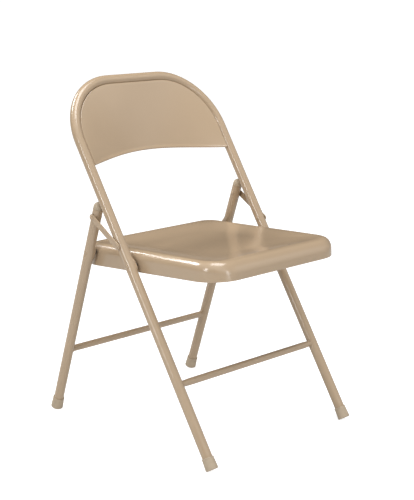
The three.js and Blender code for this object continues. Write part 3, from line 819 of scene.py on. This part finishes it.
for name, side in SIDES.items():
    finish_piece(rear_leg(name, side), "rear_legs", [f"rear_leg_{name}"], tube_paint)
    plug = leg_plug(f"plug_{name}", side)
    finish_piece(plug, "rear_legs", [f"rear_leg_plug_{name}"], plug_rubber)
    rear_cap = foot_cap(f"rear_cap_{name}", rear_rail, side * LEG_X)
    finish_piece(rear_cap, "rear_legs", [f"rear_foot_cap_{name}"], cap_rubber)
    front_cap = foot_cap(f"front_cap_{name}", front_rail, side * FRAME_FOOT_X)
    finish_piece(front_cap, "front_frame", [f"front_foot_cap_{name}"], cap_rubber)
    front_weld = weld(f"front_weld_{name}", front_rail, FRONT_BAR, front_bar_x, side)
    finish_piece(front_weld, "front_frame", [], small_paint)
    rear_weld = weld(f"rear_weld_{name}", rear_rail, REAR_BAR, LEG_X, side)
    finish_piece(rear_weld, "rear_legs", [], small_paint)

    body = f"{name}_link"
    finish_piece(link(name, side), body, [f"link_{name}"], small_paint)
    leg_head = rivet(f"link_leg_head_{name}", link_leg_pivot, side, head_at, LINK_LEG_HEAD_DOME)
    finish_piece(leg_head, body, [f"link_leg_rivet_{name}"], small_paint)
    frame_head = rivet(
        f"link_frame_head_{name}", link_frame_pivot, side, head_at, LINK_FRAME_HEAD_DOME, frame_tail_at
    )
    finish_piece(frame_head, "front_frame", [f"link_frame_rivet_{name}"], small_paint)
    leg_tail = tail(f"link_tail_{name}", link_leg_pivot, side, leg_tail_at)
    finish_piece(leg_tail, "rear_legs", [f"link_rivet_tail_{name}"], small_paint)

    front_head = rivet(
        f"seat_front_head_{name}", seat_pivot, side, front_head_at, SEAT_HEAD_DOME, front_seat_tail_at
    )
    finish_piece(front_head, "front_frame", [f"front_seat_rivet_{name}"], small_paint)
    rear_head = rivet(
        f"seat_rear_head_{name}", seat_leg_pivot, side, rear_head_at, SEAT_HEAD_DOME, rear_seat_tail_at
    )
    finish_piece(rear_head, "rear_legs", [f"rear_seat_rivet_{name}"], small_paint)
    front_bush = spacer(f"seat_front_bush_{name}", seat_pivot, side, bush_start, front_bush_end)
    finish_piece(front_bush, "seat", [f"front_seat_spacer_{name}"], bush_dark)
    rear_bush = spacer(f"seat_rear_bush_{name}", seat_leg_pivot, side, bush_start, rear_bush_end)
    finish_piece(rear_bush, "seat", [f"rear_seat_spacer_{name}"], bush_dark)


# ---------- floor, light and camera, in metres ----------

FLOOR_REACH = 40.0
FLOOR_GLOW = 0.29
FLOOR_GLOW_SEEN = 0.84
CHAIR_MIDDLE = Vector((0, 0, 0.45))

# The room's glow: azimuth and elevation of each soft patch in degrees, how narrow it is, how bright.
ROOM_GLOW = (
    (180, 60, 6, 0.84),
    (300, 15, 6, 0.50),
    (0, 90, 6, 0.20),
    (262, 12, 6, 0.42),
    (345, 10, 6, 0.30),
    (260, 58, 40, 0.82),
    (220, 58, 40, 0.79),
    (260, 35, 40, 0.76),
    (240, 35, 40, 0.68),
    (200, 30, 20, 0.25),
    (313, 20, 40, 0.50),
    (326, 33, 70, 0.70),
)

# The lamps: name, the way to it from the chair's middle, how far, its size, its power in watts.
SOFTBOXES = (
    ("left_strip", (-0.95, -0.12, 0.3), 3.0, (0.4, 1.4), 25),
    ("front_strip", (-0.10, -0.98, 0.14), 3.0, (0.5, 1.7), 13),
    ("rear_left", (-0.235, 0.685, 0.69), 3.0, (1.5, 0.7), 46),
    ("overhead", (0.06, -0.06, 1), 2.6, (1.6, 1.4), 48),
)


def floor():
    """A wide pale floor that looks brighter to the camera than it shines on the chair."""
    reach = FLOOR_REACH
    corners = [(-reach, -reach, 0), (reach, -reach, 0), (reach, reach, 0), (-reach, reach, 0)]
    mesh = bpy.data.meshes.new("floor")
    mesh.from_pydata(corners, [], [(0, 1, 2, 3)])
    obj = bpy.data.objects.new("floor", mesh)
    bpy.context.scene.collection.objects.link(obj)
    n = Nodes("studio_floor")
    bounce = n.shader
    shown = n.tree.nodes.new("ShaderNodeBsdfPrincipled")
    for shader, glow in ((bounce, FLOOR_GLOW), (shown, FLOOR_GLOW_SEEN)):
        shader.inputs["Base Color"].default_value = (0.5, 0.5, 0.5, 1)
        shader.inputs["Roughness"].default_value = 0.9
        shader.inputs["Specular IOR Level"].default_value = 0.0
        shader.inputs["Emission Color"].default_value = (1, 1, 1, 1)
        shader.inputs["Emission Strength"].default_value = glow
    blend = n.tree.nodes.new("ShaderNodeMixShader")
    n.link(n.tree.nodes.new("ShaderNodeLightPath").outputs["Is Camera Ray"], blend.inputs[0])
    n.link(bounce.outputs[0], blend.inputs[1])
    n.link(shown.outputs[0], blend.inputs[2])
    n.link(blend.outputs[0], n.tree.nodes["Material Output"].inputs["Surface"])
    mesh.materials.append(n.material)


def softbox(name, way, distance, size, power):
    """A rectangular lamp that faces the middle of the chair."""
    position = CHAIR_MIDDLE + Vector(way).normalized() * distance
    light = bpy.data.lights.new(name, "AREA")
    light.shape = "RECTANGLE"
    light.size, light.size_y = size
    light.energy = power
    obj = bpy.data.objects.new(name, light)
    obj.location = position
    obj.rotation_euler = (CHAIR_MIDDLE - position).to_track_quat("-Z", "Y").to_euler()
    bpy.context.scene.collection.objects.link(obj)


def camera():
    """A camera at the photo's viewpoint."""
    data = bpy.data.cameras.new("camera")
    data.sensor_width = 36
    data.lens = 88.14
    data.shift_x = 0.0022
    data.shift_y = 0.0013
    data.clip_end = 200
    obj = bpy.data.objects.new("camera", data)
    right = Vector((0.70771, -0.70632, 0.01594))
    up = Vector((0.15507, 0.17730, 0.97186))
    forward = Vector((0.68928, 0.68532, -0.23501))
    matrix = Matrix((right, up, -forward)).transposed().to_4x4()
    matrix.translation = Vector((-1.88575, -1.88764, 1.03341))
    obj.matrix_world = matrix
    bpy.context.scene.collection.objects.link(obj)
    bpy.context.scene.camera = obj


def studio():
    """A dim room with soft bright patches, and a few softboxes."""
    world = bpy.data.worlds.new("studio")
    world.use_nodes = True
    tree = world.node_tree
    background = tree.nodes["Background"]
    direction = tree.nodes.new("ShaderNodeTexCoord").outputs["Generated"]

    def math_node(operation, first, second):
        node = tree.nodes.new("ShaderNodeMath")
        node.operation = operation
        tree.links.new(first, node.inputs[0])
        if isinstance(second, float):
            node.inputs[1].default_value = second
        else:
            tree.links.new(second, node.inputs[1])
        return node.outputs[0]

    level = None
    for azimuth, elevation, narrow, bright in ROOM_GLOW:
        around, up = math.radians(azimuth), math.radians(elevation)
        towards = tree.nodes.new("ShaderNodeVectorMath")
        towards.operation = "DOT_PRODUCT"
        flat = math.cos(up)
        towards.inputs[1].default_value = (flat * math.cos(around), flat * math.sin(around), math.sin(up))
        tree.links.new(direction, towards.inputs[0])
        facing = math_node("MAXIMUM", towards.outputs["Value"], 0.0)
        patch = math_node("MULTIPLY", math_node("POWER", facing, float(narrow)), bright)
        level = patch if level is None else math_node("ADD", level, patch)
    seen = tree.nodes.new("ShaderNodeLightPath").outputs["Is Camera Ray"]
    level = math_node("MAXIMUM", level, seen)
    background.inputs["Color"].default_value = (1, 1, 1, 1)
    tree.links.new(level, background.inputs["Strength"])
    bpy.context.scene.world = world
    for lamp in SOFTBOXES:
        softbox(*lamp)
    bpy.context.scene.view_settings.view_transform = "Standard"


floor()
studio()
camera()
